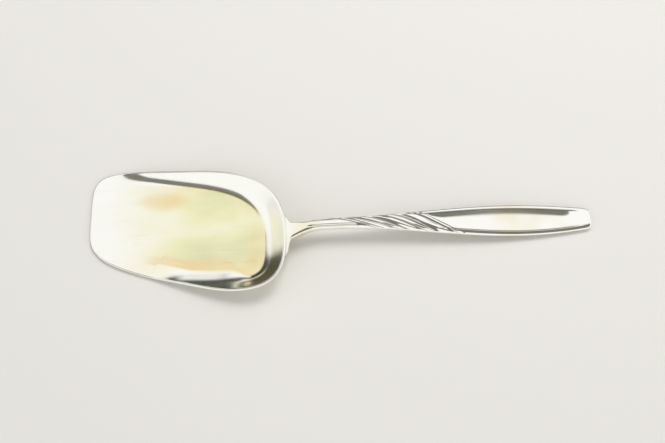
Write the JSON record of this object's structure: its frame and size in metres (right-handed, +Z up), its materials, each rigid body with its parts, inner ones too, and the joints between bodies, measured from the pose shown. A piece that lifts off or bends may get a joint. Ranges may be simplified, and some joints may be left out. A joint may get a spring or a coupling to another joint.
{
  "type": "tomato server",
  "caption": "Broad shallow shovel bowl with walls rising to its heel, on a slender handle with a leaf-twist neck and a bordered panel, for lifting and serving sliced tomatoes.",
  "frame": {"origin": "on the flat underside of the bowl, on the line of the handle", "axes": "+X along the handle to its end, +Y to the long straight side of the bowl, +Z up out of the bowl"},
  "size_m": [0.1965, 0.0545, 0.0092],
  "materials": {
    "bowl_silver": "polished silver with fine wear",
    "handle_silver": "polished silver with darker recesses",
    "silver_solder": "polished silver solder"
  },
  "bodies": {
    "root": {"bowl": "bowl_silver", "handle": "handle_silver", "solder_seam": "silver_solder"}
  },
  "joints": []
}
